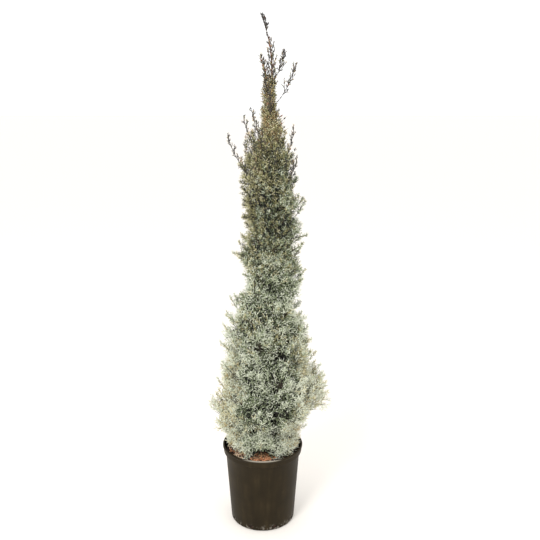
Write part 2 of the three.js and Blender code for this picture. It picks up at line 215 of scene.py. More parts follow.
# Injection-moulded polypropylene, black with some brown regrind: a satin skin with marks where the
# watering has run down, a pale line painted along the front of the lip as a highlight, and pale scuffs
# round the foot.
plastic = {
    "tones": [(0.1, "#231d13"), (0.28, "#2a2317"), (0.46, "#332b1d")], "roughness": (0.36, 0.58),
    "run": 14, "runStretch": 0.12, "cloud": 60,  # watering marks, strongest in clouds
    # painted highlight: a pale line along the top of the lip, on the front only
    "paintedGlint": "#a8a296", "paintedGlintShare": 0.8, "underTop": (3.5, 0.5), "front": (-114, -128),
    "scuff": "#8b857b", "scuffShare": 0.75, "scuffSize": 9, "scuffEdge": (0.5, 0.62),
    "scuffFade": (4, 26),
    "grain": 2.2, "grainDepth": 0.4,  # moulded grain, drawn coarser than its 0.5 mm
}


def polypropylene():
    material, tree, shader = newMaterial("polypropylene", {"IOR": 1.49, "Specular IOR Level": 0.07})
    place = addNode(tree, "ShaderNodeTexCoord", {}, {}).outputs["Object"]
    axes = addNode(tree, "ShaderNodeSeparateXYZ", {}, {"Vector": place})
    streak = addNode(tree, "ShaderNodeMapping", {"Scale": (1, 1, plastic["runStretch"])},
                     {"Vector": place})
    run = addNode(tree, "ShaderNodeTexNoise", {"Scale": 1 / (plastic["run"] * mm), "Detail": 5.0},
                  {"Vector": streak.outputs["Vector"]})
    cloud = addNode(tree, "ShaderNodeTexNoise", {"Scale": 1 / (plastic["cloud"] * mm), "Detail": 3.0},
                    {"Vector": place})
    both = addNode(tree, "ShaderNodeMath", {"operation": "MULTIPLY"},
                   {0: run.outputs["Fac"], 1: cloud.outputs["Fac"]})
    skin = addNode(tree, "ShaderNodeValToRGB", {}, {"Fac": both.outputs["Value"]})
    setRamp(skin, plastic["tones"])
    # painted highlight: pale near the lip's top, fading in towards the front
    low, high = [(pot["height"] - drop) * mm for drop in plastic["underTop"]]
    lip = addNode(tree, "ShaderNodeMapRange",
                  {"From Min": low, "From Max": high, "To Max": plastic["paintedGlintShare"]},
                  {"Value": axes.outputs["Z"]})
    near, far = plastic["front"]
    front = addNode(tree, "ShaderNodeMapRange", {"From Min": near * mm, "From Max": far * mm},
                    {"Value": axes.outputs["Y"]})
    paintedGlint = addNode(tree, "ShaderNodeMath", {"operation": "MULTIPLY"},
                   {0: lip.outputs["Result"], 1: front.outputs["Result"]})
    glinted = addNode(tree, "ShaderNodeMixRGB", {"Color2": hexColor(plastic["paintedGlint"])},
                    {"Fac": paintedGlint.outputs["Value"], "Color1": skin.outputs["Color"]})
    low, high = plastic["scuffFade"]
    foot = addNode(tree, "ShaderNodeMapRange",
                   {"From Min": low * mm, "From Max": high * mm, "To Min": 1, "To Max": 0},
                   {"Value": axes.outputs["Z"]})
    rubbed = addNode(tree, "ShaderNodeTexNoise", {"Scale": 1 / (plastic["scuffSize"] * mm), "Detail": 4.0},
                     {"Vector": place})
    low, high = plastic["scuffEdge"]
    patch = addNode(tree, "ShaderNodeMapRange",
                    {"From Min": low, "From Max": high, "To Max": plastic["scuffShare"]},
                    {"Value": rubbed.outputs["Fac"]})
    scuff = addNode(tree, "ShaderNodeMath", {"operation": "MULTIPLY"},
                    {0: foot.outputs["Result"], 1: patch.outputs["Result"]})
    worn = addNode(tree, "ShaderNodeMixRGB", {"Color2": hexColor(plastic["scuff"])},
                   {"Fac": scuff.outputs["Value"], "Color1": glinted.outputs["Color"]})
    smoothest, roughest = plastic["roughness"]
    satin = addNode(tree, "ShaderNodeMapRange", {"To Min": smoothest, "To Max": roughest},
                    {"Value": run.outputs["Fac"]})
    grain = addNode(tree, "ShaderNodeTexNoise", {"Scale": 1 / (plastic["grain"] * mm), "Detail": 2.0},
                    {"Vector": place})
    bump = addNode(tree, "ShaderNodeBump", {"Strength": 0.12, "Distance": plastic["grainDepth"] * mm},
                   {"Height": grain.outputs["Fac"]})
    tree.links.new(worn.outputs["Color"], shader.inputs["Base Color"])
    tree.links.new(satin.outputs["Result"], shader.inputs["Roughness"])
    tree.links.new(bump.outputs["Normal"], shader.inputs["Normal"])
    return material


def makePot():
    piece = ringedBody("nursery_pot", potRings(), pot["sides"])
    cutters = drainCutters()
    holes = piece.modifiers.new("drain holes", "BOOLEAN")
    holes.operation = "DIFFERENCE"
    holes.solver = "EXACT"
    holes.object = cutters
    edge = piece.modifiers.new("soft edges", "BEVEL")
    edge.width = pot["edge"] * mm
    edge.segments = pot["edgeSteps"]
    edge.limit_method = "ANGLE"
    edge.angle_limit = math.radians(pot["edgeAngle"])
    applyModifiers(piece)
    bpy.data.objects.remove(cutters)
    selectOnly(piece)
    bpy.ops.object.shade_smooth_by_angle(angle=math.radians(pot["smoothAngle"]))
    piece.data.materials.append(polypropylene())
    settle(piece, "pot_plastic", "pot")
    print("pot:", len(piece.data.polygons), "faces")


# Potting mix

soil = {
    "level": 241.5, "crest": 248, "crestRadius": 30, "slope": 1.5, "gap": 0.3, "sides": 96, "steps": 24,
    "heap": 12, "heapRadius": 102, "heapWidth": 22,  # fallen sprays have built up inside the rim
    "lumps": 3.2, "lumpSize": 9, "evenEdge": 1,
}
soil["inside"] = pot["collarRadius"] - pot["wall"] - soil["gap"]


def soilRings():
    wall, gap, inside, steps = pot["wall"], soil["gap"], soil["inside"], soil["steps"]
    underCollar = pot["shoulder"] - wall / 2
    rings = [
        (potRadius(pot["floor"]) - wall - gap, pot["floor"] + gap),
        (potRadius(underCollar) - wall - gap, underCollar),
        (inside, pot["collarFoot"] - wall / 2 + gap),
        (inside, soil["level"]),
    ]
    for i in range(1, steps):
        radius = inside * (1 - i / steps)
        rings.append((radius, soilHeight(radius)))
    return rings


def soilHeight(radius):
    share = np.clip((soil["inside"] - radius) / (soil["inside"] - soil["crestRadius"]), 0, 1)
    heap = soil["heap"] * np.exp(-((radius - soil["heapRadius"]) / soil["heapWidth"]) ** 2)
    return soil["level"] + (soil["crest"] - soil["level"]) * share ** soil["slope"] + heap


# Peat and composted bark: matt, dark when damp, with paler fibres and crumbs.
peat = {
    "crumb": 6, "fibre": 3, "relief": 1.5,
    "tones": [(0.05, "#0f0a07"), (0.25, "#241812"), (0.5, "#4c3323")],
}


def pottingMix():
    material, tree, shader = newMaterial("peat_and_bark_mix", {"IOR": 1.4, "Roughness": 0.95})
    place = addNode(tree, "ShaderNodeTexCoord", {}, {}).outputs["Object"]
    crumb = addNode(tree, "ShaderNodeTexVoronoi", {"Scale": 1 / (peat["crumb"] * mm)}, {"Vector": place})
    fibre = addNode(tree, "ShaderNodeTexNoise", {"Scale": 1 / (peat["fibre"] * mm), "Detail": 6.0},
                    {"Vector": place})
    mixed = addNode(tree, "ShaderNodeMath", {"operation": "MULTIPLY"},
                    {0: crumb.outputs["Distance"], 1: fibre.outputs["Fac"]})
    colour = addNode(tree, "ShaderNodeValToRGB", {}, {"Fac": mixed.outputs["Value"]})
    setRamp(colour, peat["tones"])
    bump = addNode(tree, "ShaderNodeBump", {"Strength": 0.8, "Distance": peat["relief"] * mm},
                   {"Height": mixed.outputs["Value"]})
    tree.links.new(colour.outputs["Color"], shader.inputs["Base Color"])
    tree.links.new(bump.outputs["Normal"], shader.inputs["Normal"])
    return material


def makeSoil():
    piece = ringedBody("potting_mix", soilRings(), soil["sides"])
    top = piece.vertex_groups.new(name="top")
    edge = (soil["inside"] - soil["evenEdge"]) * mm
    for v in piece.data.vertices:
        if v.co.z >= soil["level"] * mm and v.co.xy.length < edge:
            top.add([v.index], 1, "REPLACE")
    clods = bpy.data.textures.new("clods", "CLOUDS")
    clods.noise_scale = soil["lumpSize"] * mm
    lumps = piece.modifiers.new("lumps", "DISPLACE")
    lumps.texture = clods
    lumps.texture_coords = "LOCAL"
    lumps.direction = "Z"
    lumps.strength = soil["lumps"] * mm
    lumps.vertex_group = "top"
    applyModifiers(piece)
    piece.data.materials.append(pottingMix())
    settle(piece, "potting_mix", "soil")
    print("soil:", len(piece.data.polygons), "faces")


# The rule that the crown grows by

trunk = {
    "foot": 248.3, "tip": 1546, "top": 1626, "footRadius": 10.5, "tipRadius": 1.3, "taper": 0.85,
    "flare": 6, "flareFade": 16, "lean": 30, "leanDone": 0.6, "nod": 37, "nodStart": 0.88, "sway": 5,
    "swayRise": 3,
}
crown = {
    "outline": [  # height, reach to the right, reach to the left
        (248, 112, 112), (311, 122, 130), (366, 126, 152), (396, 186, 164), (424, 204, 180),
        (455, 222, 140), (480, 214, 136), (563, 168, 150), (618, 144, 130), (700, 114, 114),
        (778, 98, 104), (830, 101, 76), (934, 78, 98), (1008, 100, 80), (1107, 78, 98), (1203, 64, 92),
        (1250, 48, 82), (1286, 38, 70), (1321, 34, 48), (1367, 30, 36), (1440, 24, 26), (1546, 16, 14),
        (1626, 8, 8),
    ],
    "lowest": 286, "ring": 6, "ringRise": 48, "area": 26000, "middle": 0.56, "stemTip": 0.84,
    "climb": 0.55, "topClimb": 1.7, "steeper": (1136, 1386), "highest": 1400,
    "turn": 80, "footClear": 6, "tipClimb": 1.5, "boughs": 9, "boughShare": 0.27, "stemRadius": (2.3, 0.9),
}
shoot = {
    "rows": [  # heights where it leaves the trunk and ends, bearing, distance from the trunk at its end
        (1080, 1262, 180, 132), (1150, 1318, 158, 92), (1196, 1342, 208, 66), (1130, 1282, 10, 68),
        (1060, 1200, 342, 78), (1284, 1404, 84, 54), (1290, 1396, 264, 46), (1352, 1466, 340, 72),
        (1340, 1452, 232, 36), (1404, 1492, 152, 31), (1424, 1506, 28, 44),
    ],
    "bendHeight": 0.3, "bendReach": 0.62, "middle": 0.84, "radius": (1.6, 0.9),
}


def smoothStep(x):
    x = np.clip(x, 0, 1)
    return x * x * (3 - 2 * x)


def easeBetween(low, high, value):
    return smoothStep((value - low) / (high - low))


def mix(a, b, share):
    return a + (b - a) * share


def unit(v):
    return v / np.linalg.norm(v, axis=-1, keepdims=True)


def heightShare(height):
    return (np.asarray(height, float) - trunk["foot"]) / (trunk["top"] - trunk["foot"])


def stemCentre(height):
    share = heightShare(height)
    bend = np.clip((share - trunk["nodStart"]) / (1 - trunk["nodStart"]), 0, 1)
    x = trunk["lean"] * smoothStep(share / trunk["leanDone"]) - trunk["nod"] * bend ** 2
    y = trunk["sway"] * np.sin(2 * np.pi * share) * smoothStep(share * trunk["swayRise"])
    return np.stack([x, y, np.asarray(height, float)], -1)


def trunkRadius(height):
    thinning = np.clip(heightShare(height), 0, 1) ** trunk["taper"]
    flare = trunk["flare"] * np.exp(-(np.asarray(height) - trunk["foot"]) / trunk["flareFade"])
    return mix(trunk["footRadius"], trunk["tipRadius"], thinning) + flare


def outlineRadius(height, bearing):
    levels, right, left = np.array(crown["outline"], float).T
    rightReach = np.interp(height, levels, right)
    leftReach = np.interp(height, levels, left)
    return mix(leftReach, rightReach, (1 + np.cos(bearing)) / 2)


def meanReach(height):
    return (outlineRadius(height, 0) + outlineRadius(height, math.pi)) / 2


# A point's bearing and distance from the stem at its own height.
def fromStem(points):
    off = points - stemCentre(points[:, 2])
    return np.arctan2(off[:, 1], off[:, 0]), np.hypot(off[:, 0], off[:, 1])


# The crown's reach at a point's height and bearing, and the point's own distance.
def crownReach(points):
    bearing, distance = fromStem(points)
    return outlineRadius(points[:, 2], bearing), distance


# Degrees from one bearing to another, the short way round.
def degreesAside(bearing, middle):
    return (bearing - middle + 180) % 360 - 180


def outBy(height, bearing, radius):
    return stemCentre(height) + np.array([radius * math.cos(bearing), radius * math.sin(bearing), 0])


def outFrom(height, bearing, share):
    return outBy(height, bearing, share * outlineRadius(height, bearing))


# A dense plume on a stem from the trunk out and up through its own middle.
def makePlume(height, bearing):
    climb = mix(crown["climb"], crown["topClimb"], float(easeBetween(*crown["steeper"], height)))
    reach = outlineRadius(height, bearing)
    middle = outFrom(height, bearing, crown["middle"])
    foot = stemCentre(max(trunk["foot"] + crown["footClear"], height - climb * crown["middle"] * reach))
    tipHeight = height + crown["tipClimb"] * climb * (crown["stemTip"] - crown["middle"]) * reach
    tip = outFrom(tipHeight, bearing, crown["stemTip"])
    bend = 2 * middle - 0.5 * foot - 0.5 * tip  # takes the line through its middle
    return {"dense": True, "middle": middle, "line": (foot, bend, tip)}


# A thin shoot that goes out and then turns up.
def makeShoot(footHeight, tipHeight, degrees, reach):
    bearing = math.radians(degrees)
    bendHeight = mix(footHeight, tipHeight, shoot["bendHeight"])
    line = (stemCentre(footHeight), outBy(bendHeight, bearing, shoot["bendReach"] * reach),
            outBy(tipHeight, bearing, reach))
    points, ways = onLine(line, [shoot["middle"]])
    return {"dense": False, "middle": points[0], "line": line}


def makePlumes():
    ring = crown["ring"]
    made = [makePlume(crown["lowest"], 2 * math.pi * (i + 0.5) / ring) for i in range(ring)]
    height = crown["lowest"] + crown["ringRise"]
    while height < crown["highest"]:
        made.append(makePlume(height, math.radians(crown["turn"]) + goldenTurn * len(made)))
        height += crown["area"] / (2 * math.pi * meanReach(height))
    return made + [makeShoot(*row) for row in shoot["rows"]]


def onLine(line, t):
    foot, bend, tip = line
    t = np.asarray(t)[:, None]
    point = (1 - t) ** 2 * foot + 2 * t * (1 - t) * bend + t ** 2 * tip
    way = unit(2 * (1 - t) * (bend - foot) + 2 * t * (tip - bend))
    return point, way


plumes = makePlumes()
middles = np.array([plume["middle"] for plume in plumes])
spacing = np.linalg.norm(middles[:, None] - middles[None], axis=2)
denseCount = len(plumes) - len(shoot["rows"])
print("plumes:", denseCount, "dense and", len(shoot["rows"]), "thin")


# Bark

bark = {
    "trunkRings": 180, "trunkRound": 6, "boughRings": 16, "boughRound": 3, "boughFoot": 4, "boughTip": 2.6,
    "furrow": 1.6, "furrowWidth": 3.2, "furrowStretch": 9, "relief": 1,
    "tones": [(0.3, "#2e1e15"), (0.5, "#6b4630"), (0.72, "#9a8471")],
}


# Thin young cypress bark: red-brown, split along the stem into grey-edged strips.
def cypressBark():
    material, tree, shader = newMaterial("cypress_bark", {"IOR": 1.45, "Roughness": 0.85})
    place = addNode(tree, "ShaderNodeTexCoord", {}, {}).outputs["Object"]
    along = addNode(tree, "ShaderNodeMapping", {"Scale": (1, 1, 1 / bark["furrowStretch"])},
                    {"Vector": place})
    strip = addNode(tree, "ShaderNodeTexNoise", {"Scale": 1 / (bark["furrowWidth"] * mm), "Detail": 6.0},
                    {"Vector": along.outputs["Vector"]})
    colour = addNode(tree, "ShaderNodeValToRGB", {}, {"Fac": strip.outputs["Fac"]})
    setRamp(colour, bark["tones"])
    bump = addNode(tree, "ShaderNodeBump", {"Strength": 0.7, "Distance": bark["relief"] * mm},
                   {"Height": strip.outputs["Fac"]})
    tree.links.new(colour.outputs["Color"], shader.inputs["Base Color"])
    tree.links.new(bump.outputs["Normal"], shader.inputs["Normal"])
    return material


# Limbs as one bevelled curve, made a mesh and given furrows in proportion to their thickness.
def makeLimbs(name, limbs, roundness, material):
    curve = bpy.data.curves.new(name, "CURVE")
    curve.dimensions = "3D"
    curve.bevel_depth = mm  # times each point's radius
    curve.bevel_resolution = roundness
    curve.use_fill_caps = True
    for points, radii in limbs:
        spline = curve.splines.new("POLY")
        spline.points.add(len(points) - 1)
        for spot, point, radius in zip(spline.points, points * mm, radii):
            spot.co = (*point, 1)
            spot.radius = radius
    selectOnly(newObject(name, curve))
    bpy.ops.object.convert(target="MESH")
    piece = bpy.context.object
    relief = piece.vertex_groups.new(name="relief")
    allPoints = np.concatenate([points for points, radii in limbs]) * mm
    allRadii = np.concatenate([radii for points, radii in limbs])
    for v in piece.data.vertices:
        nearest = np.argmin(((allPoints - np.array(v.co)) ** 2).sum(1))
        relief.add([v.index], min(1, allRadii[nearest] / trunk["footRadius"]), "REPLACE")
    bpy.ops.object.empty_add()
    stretch = bpy.context.object
    stretch.scale = (1, 1, bark["furrowStretch"])
    strips = bpy.data.textures.new(name + "_strips", "CLOUDS")
    strips.noise_scale = bark["furrowWidth"] * mm
    furrows = piece.modifiers.new("furrows", "DISPLACE")
    furrows.texture = strips
    furrows.texture_coords = "OBJECT"
    furrows.texture_coords_object = stretch
    furrows.strength = bark["furrow"] * mm
    furrows.vertex_group = "relief"
    bpy.context.view_layer.update()
    applyModifiers(piece)
    bpy.data.objects.remove(stretch)
    selectOnly(piece)
    bpy.ops.object.shade_smooth()
    piece.data.materials.append(material)
    print(name + ":", len(piece.data.polygons), "faces")
    return piece


def makeWood():
    material = cypressBark()
    heights = np.linspace(trunk["foot"], trunk["tip"], bark["trunkRings"])
    stem = [(stemCentre(heights), trunkRadius(heights))]
    settle(makeLimbs("trunk_bark", stem, bark["trunkRound"], material), "bark", "trunk")
    share = np.linspace(0, 1, bark["boughRings"])
    limbs, names = [], []
    for order in range(crown["ring"], crown["ring"] + crown["boughs"]):
        points, ways = onLine(plumes[order]["line"], share * crown["boughShare"])
        limbs.append((points, mix(bark["boughFoot"], bark["boughTip"], share)))
        names.append(f"bough_{order + 1:02d}")
    settle(makeLimbs("bough_bark", limbs, bark["boughRound"], material), "bark", *names)


# Twigs and sprays: shoots are arrays of root, way, length and owner plume, and curve upwards

twig = {
    "low": 250, "high": 900, "area": (290, 390), "sparser": (560, 760), "share": 1, "uneven": 0.12,
    "hold": 15, "least": 0.4, "stemSteps": 40, "rootShare": (0.06, 0.97), "back": 0.8, "rise": 0.16,
    "radius": (1.3, 0.7), "rings": 3, "seed": 4141,
}
fineTwig = {**twig, "low": 880, "high": 1244, "area": (340, 340)}  # the upper crown
innerTwig = {**twig, "low": 300, "high": 1200, "area": (900, 900), "share": 0.7}  # the inside, darkened as painted shade
singleTwig = {"scatter": 0.2, "slack": 80, "shortest": 16}
skirtTwig = {
    **singleTwig, "area": 420, "low": 254, "high": 274, "share": (0.5, 0.72), "steep": (-22, 4),
    "length": (30, 52), "over": 1.06,
}
wisp = {
    **singleTwig, "area": 3000, "low": 300, "high": 1200, "share": (0.7, 0.8), "steep": (0, 60),
    "length": (40, 64), "over": 1.26,
}
upright = {
    **singleTwig, "area": 2000, "low": 1080, "high": 1330, "share": (0.2, 0.8), "steep": (62, 84),
    "length": (60, 110), "over": 2,
}
steepTwig = {"vary": (0.55, 0.45), "toLeft": (0, 0), "lean": 0}
coreTwig = {
    **steepTwig, "low": 1190, "high": 1440, "count": 150, "spread": (23, 17), "length": (66, 38),
    "toLeft": (0.1, 0.9), "lean": -0.2,
}
knobTwig = {  # on the right of the core
    **steepTwig, "low": 1262, "high": 1330, "count": 40, "spread": (66, 50), "length": (40, 28),
    "toLeft": (-0.8, -0.8),
}
leaderTwig = {**steepTwig, "low": 1400, "high": 1580, "count": 34, "spread": (38, 20), "length": (34, 15)}
tuftTwig = {**steepTwig, "low": 1568, "high": 1617, "count": 22, "spread": (16, 8), "length": (20, 14)}
shootTwig = {
    "count": 11, "start": 0.4, "spread": 50, "closing": 0.6, "lift": 0.3, "length": (38, 14),
    "vary": (0.5, 0.5),
}
valley = {
    "tufts": [(20, 0.2, 0.7), (44, 0.16, 2.9)],  # size of the tufts, depth between them, phase
    "cut": (0.45, 0.9),  # how much of a patch is valley, and how steep its sides are
    "notches": [  # height, bearing, depth, half height, half width in degrees
        (510, 0, 0.06, 22, 40), (812, 180, 0.14, 18, 50), (452, 180, 0.12, 14, 40),
        (1160, 0, 0.18, 16, 40), (740, 350, 0.14, 14, 40), (1010, 190, 0.12, 20, 40),
        (812, -80, 0.38, 13, 42), (772, -108, 0.34, 12, 24), (590, -95, 0.2, 30, 14),
        (520, -86, 0.18, 26, 14), (1165, -95, 0.2, 40, 12),
        # spurs, which stand out
        (902, 180, -0.2, 11, 30), (750, 180, -0.2, 16, 30), (672, 0, -0.1, 9, 25),
        (874, 0, -0.1, 11, 30), (700, 180, -0.12, 16, 30), (655, 180, -0.16, 15, 30),
        (500, 180, -0.1, 22, 30), (412, 180, -0.12, 14, 28), (345, 180, -0.16, 16, 30),
        (1095, 180, -0.18, 24, 30), (986, 0, -0.16, 12, 30), (412, 0, -0.2, 20, 32),
    ],
    "shoulder": (1170, 1300, 0.5),  # the dense crown draws in towards the core
    "above": (268, 340),  # the skirt over the rim has no tufts
}

anySprig = {"jitter": 0.7, "endSpread": 6, "vary": (0.7, 0.5)}
fullSprig = {
    **anySprig, "count": 7, "start": 0.18, "spread": (64, 36), "lift": 0.25, "rise": 0.15,
    "length": (44, 26), "shortest": 10, "slack": 40, "over": 1.14, "ragged": 0.2,
}
fineSprig = {**fullSprig, "count": 8, "length": (36, 21), "shortest": 8}
innerSprig = {**fullSprig, "over": 0.86}
skirtSprig = {**fullSprig, "count": 6, "length": (30, 20), "lift": 0.1, "over": 1.08, "shortest": 8}
coreSprig = {
    **anySprig, "count": 7, "start": 0.15, "spread": (74, 48), "lift": 0.2, "rise": 0.1,
    "length": (19, 13), "shortest": 5, "slack": 80, "over": 2.2, "ragged": 0,
}
uprightSprig = {
    **anySprig, "count": 10, "start": 0.15, "spread": (56, 34), "lift": 0.25, "rise": 0.1,
    "length": (24, 11), "shortest": 4, "slack": 200, "over": 2.2, "ragged": 0,
}
thinSprig = {
    **anySprig, "count": 3, "start": 0.25, "spread": (54, 34), "lift": 0.2, "rise": 0.1,
    "length": (15, 9), "shortest": 4, "slack": 200, "over": 9, "ragged": 0,
}
anyCord = {"start": 0.1, "end": 0.95, "jitter": 0.7, "rise": 0.06}
fullCord = {**anyCord, "count": 5, "spread": (60, 32), "length": (23, 15), "uneven": 0.35, "radius": 1.3}
fineCord = {
    **anyCord, "count": 6, "start": 0.08, "spread": (62, 34), "length": (15, 10), "uneven": 0.35,
    "radius": 1.1,
}
innerCord = {**fullCord, "count": 3, "radius": 1.8}
coreCord = {**anyCord, "count": 5, "spread": (70, 46), "length": (13, 9), "uneven": 0.35, "radius": 1.3}
uprightCord = {**anyCord, "count": 5, "spread": (60, 36), "length": (11, 7), "uneven": 0.3, "radius": 1.25}
thinCord = {
    **anyCord, "count": 3, "start": 0.3, "spread": (44, 28), "length": (8, 5), "uneven": 0.3,
    "radius": 1.45,
}
cordShape = {"axis": 1.2, "axisTaper": 0.8, "axisRings": 2, "widest": 0.36}
# Dark pollen cones at the ends of the top's twigs.
bud = {"share": 0.7, "start": 0.78, "length": (7, 11), "radius": 2.9, "black": 0.9}
growStep = 4  # a shoot gets longer by this as far as it may
rimRoom = {"inside": 122, "soil": 250, "over": 269}  # foliage over the mix and over the lip
bare = {  # where the litter or the rim lies open: bearing, half width in degrees, radius
    "places": [(-150, 30, 76), (-91, 16, 38), (180, 26, 102), (0, 22, 117)], "height": 258, "slope": 0.54,
}
furthest = {"low": (-170, -188), "high": (220, 191)}  # twigs and sprigs end inside this


def across(way):
    side = np.cross(zUp, way)
    side[np.linalg.norm(side, axis=1) < 1e-3] = (1, 0, 0)  # an upright way has no side of its own
    return unit(side)


def offAxis(axis, angle, turn):
    first = across(axis)
    second = np.cross(axis, first)
    out = first * np.cos(turn)[:, None] + second * np.sin(turn)[:, None]
    return axis * np.cos(angle)[:, None] + out * np.sin(angle)[:, None]


def pointOn(shoots, u):
    run = (shoots["length"] * u)[:, None]
    return shoots["root"] + shoots["way"] * run + zUp * (shoots["rise"] * run * np.reshape(u, (-1, 1)))


def wayOn(shoots, u):
    return unit(shoots["way"] + zUp * (2 * shoots["rise"] * np.reshape(u, (-1, 1))))


def pick(shoots, chosen):
    return {key: value if np.isscalar(value) else value[chosen] for key, value in shoots.items()}


def join(parts):
    keys = ("root", "way", "length", "owner")
    return {key: np.concatenate([part[key] for part in parts]) for key in keys}


# A share that every length has, and a share that varies.
def vary(shares, count, random):
    always, more = shares
    return always + more * random.random(count)


def ownerOf(points):
    return np.argmin(((points[:, None] - middles[None, :denseCount]) ** 2).sum(2), axis=1)


# True where a point is in its plume's space, give or take the slack, in the crown and over the pot.
def allowed(points, owner, slack, outer):
    fromAll = ((points[:, None] - middles[None]) ** 2).sum(2)
    own = np.take_along_axis(fromAll, owner[:, None], 1)
    room = (fromAll - own) / np.maximum(2 * spacing[owner], 1e-6)
    room[np.arange(len(points)), owner] = np.inf
    radius = np.hypot(points[:, 0], points[:, 1])
    floor = np.where(radius < rimRoom["inside"], rimRoom["soil"], rimRoom["over"])
    bearing = np.degrees(np.arctan2(points[:, 1], points[:, 0]))
    for middle, width, inner in bare["places"]:
        inPlace = (abs(degreesAside(bearing, middle)) < width) & (radius > inner)
        lifted = bare["height"] + bare["slope"] * (radius - inner)
        floor = np.where(inPlace, np.maximum(floor, lifted), floor)
    reach, distance = crownReach(points)
    near = ((points[:, :2] > furthest["low"]) & (points[:, :2] < furthest["high"])).all(1)
    inCrown = distance < outer * denseReach(points, reach)
    return near & inCrown & (room.min(1) > -slack) & (points[:, 2] > floor)


def freeLength(shoots, longest, slack, outer):
    length = np.zeros(len(longest))
    going = np.ones(len(longest), bool)
    while going.any():
        ahead = pointOn({**shoots, "length": length + growStep}, np.ones(len(longest)))
        going &= (length + growStep <= longest) & allowed(ahead, shoots["owner"], slack, outer)
        length = length + growStep * going
    return length


# Heights and bearings of points that are spread over the crown by the golden angle.
def goldenSpiral(low, high, areaAt):
    heights = []
    height = low
    while height < high:
        heights.append(height)
        height += areaAt(height) / (2 * math.pi * meanReach(height))
    return np.array(heights), math.radians(crown["turn"]) + goldenTurn * np.arange(len(heights))


def outPoints(heights, bearings, radius):
    out = np.stack([np.cos(bearings), np.sin(bearings), np.zeros(len(bearings))], 1)
    return stemCentre(heights) + out * radius[:, None]


# Outward ways at a bearing and an angle over the level.
def outWays(bearings, steep):
    level = np.cos(steep)
    return np.stack([np.cos(bearings) * level, np.sin(bearings) * level, np.sin(steep)], 1)


# Slow patches over the crown, from -1 to 1: three waves that cross.
def patches(points, size, phase):
    x, y, z = points.T / size
    waves = np.sin(2.1 * x + phase) + np.sin(1.7 * y + z + 2 * phase) + np.sin(1.9 * z + x + 3 * phase)
    return waves / 3


# The share of the crown's reach that is missing in the valleys between tufts.
def valleyShare(points):
    share = np.zeros(len(points))
    level, slope = valley["cut"]
    for size, depth, phase in valley["tufts"]:
        share += depth * np.clip(level - slope * patches(points, size, phase), 0, 1)
    share *= easeBetween(*valley["above"], points[:, 2])
    bearing = np.degrees(fromStem(points)[0])
    for height, middle, depth, halfHeight, halfWidth in valley["notches"]:
        aside = degreesAside(bearing, middle)
        share += depth * np.exp(-((points[:, 2] - height) / halfHeight) ** 2 - (aside / halfWidth) ** 2)
    return share


# What the dense crown may fill: less in the valleys, and drawn in towards the core of the top.
def denseReach(points, reach):
    low, high, depth = valley["shoulder"]
    drawnIn = depth * easeBetween(low, high, points[:, 2])
    return reach * (1 - valleyShare(points)) * (1 - drawnIn)


# Twigs from the plumes' stems out to tips all over the crown, in tufts with valleys between.
def growCrownTwigs(settings, random):
    heights, bearings = goldenSpiral(settings["low"], settings["high"], lambda height: mix(
        *settings["area"], float(easeBetween(*settings["sparser"], height))))
    reach = outlineRadius(heights, bearings)
    reach = settings["share"] * fullSprig["over"] * denseReach(outPoints(heights, bearings, reach), reach)
    reach = reach * (1 - settings["uneven"] * random.random(len(heights)))
    tips = outPoints(heights, bearings, np.maximum(reach - settings["hold"], settings["least"] * reach))
    tips[:, :2] = np.clip(tips[:, :2], furthest["low"], furthest["high"])
    owner = ownerOf(tips)
    root = np.zeros(tips.shape)
    t = np.linspace(0, 1, settings["stemSteps"])
    for order, plume in enumerate(plumes):
        mine = owner == order
        points, ways = onLine(plume["line"], t)
        away = np.linalg.norm(tips[mine][:, None] - points[None], axis=2)
        stemLength = np.linalg.norm(np.diff(points, axis=0), axis=1).sum()
        start = t[away.argmin(1)] - settings["back"] * away.min(1) / stemLength
        root[mine] = onLine(plume["line"], np.clip(start, *settings["rootShare"]))[0]
    length = np.linalg.norm(tips - root, axis=1)
    way = unit(tips - root) - zUp * settings["rise"]
    return {"root": root, "way": way, "length": length, "owner": owner}


# Single fine twigs: out of the tufts, upright round the core of the top, or over the rim.
def growSingles(settings, random):
    heights, bearings = goldenSpiral(settings["low"], settings["high"], lambda height: settings["area"])
    count = len(heights)
    bearings = bearings + random.normal(0, settings["scatter"], count)
    share = mix(*settings["share"], random.random(count))
    root = outPoints(heights, bearings, share * outlineRadius(heights, bearings))
    steep = np.radians(mix(*settings["steep"], random.random(count)))
    made = {"root": root, "way": outWays(bearings, steep), "owner": ownerOf(root), "rise": twig["rise"]}
    longest = mix(*settings["length"], random.random(count))
    made["length"] = freeLength(made, longest, settings["slack"], settings["over"])
    return pick(made, made["length"] > settings["shortest"])


# Side twigs of the thin shoots.
def growShootTwigs(random):
    parts = []
    count = shootTwig["count"]
    t = mix(shootTwig["start"], 1, (np.arange(count) + 0.5) / count)
    angle = np.radians(shootTwig["spread"] * (1 - shootTwig["closing"] * t))
    for order in range(denseCount, len(plumes)):
        root, axis = onLine(plumes[order]["line"], t)
        turn = goldenTurn * np.arange(count) + random.random() * 2 * np.pi
        way = unit(offAxis(axis, angle, turn) + zUp * shootTwig["lift"])
        length = mix(*shootTwig["length"], t) * vary(shootTwig["vary"], count, random)
        parts.append({"root": root, "way": way, "length": length, "owner": np.full(count, order)})
    return join(parts)


# Steep twigs on the leader: the dense core of the top, and the sparse end above it.
def growSteepTwigs(settings, random):
    count = settings["count"]
    share = 1 - np.sqrt(1 - np.arange(count) / count)  # fewer and fewer upwards
    heights = mix(settings["low"], settings["high"], share)
    angle = np.radians(mix(*settings["spread"], share))
    turn = goldenTurn * np.arange(count)
    root = stemCentre(heights)
    way = offAxis(np.tile(zUp, (count, 1)), angle, turn)
    length = mix(*settings["length"], share) * vary(settings["vary"], count, random)
    length *= 1 - mix(*settings["toLeft"], share) * way[:, 0] / np.sin(angle)
    way[:, 0] += settings["lean"] * share
    return {"root": root, "way": unit(way), "length": length, "owner": ownerOf(root)}


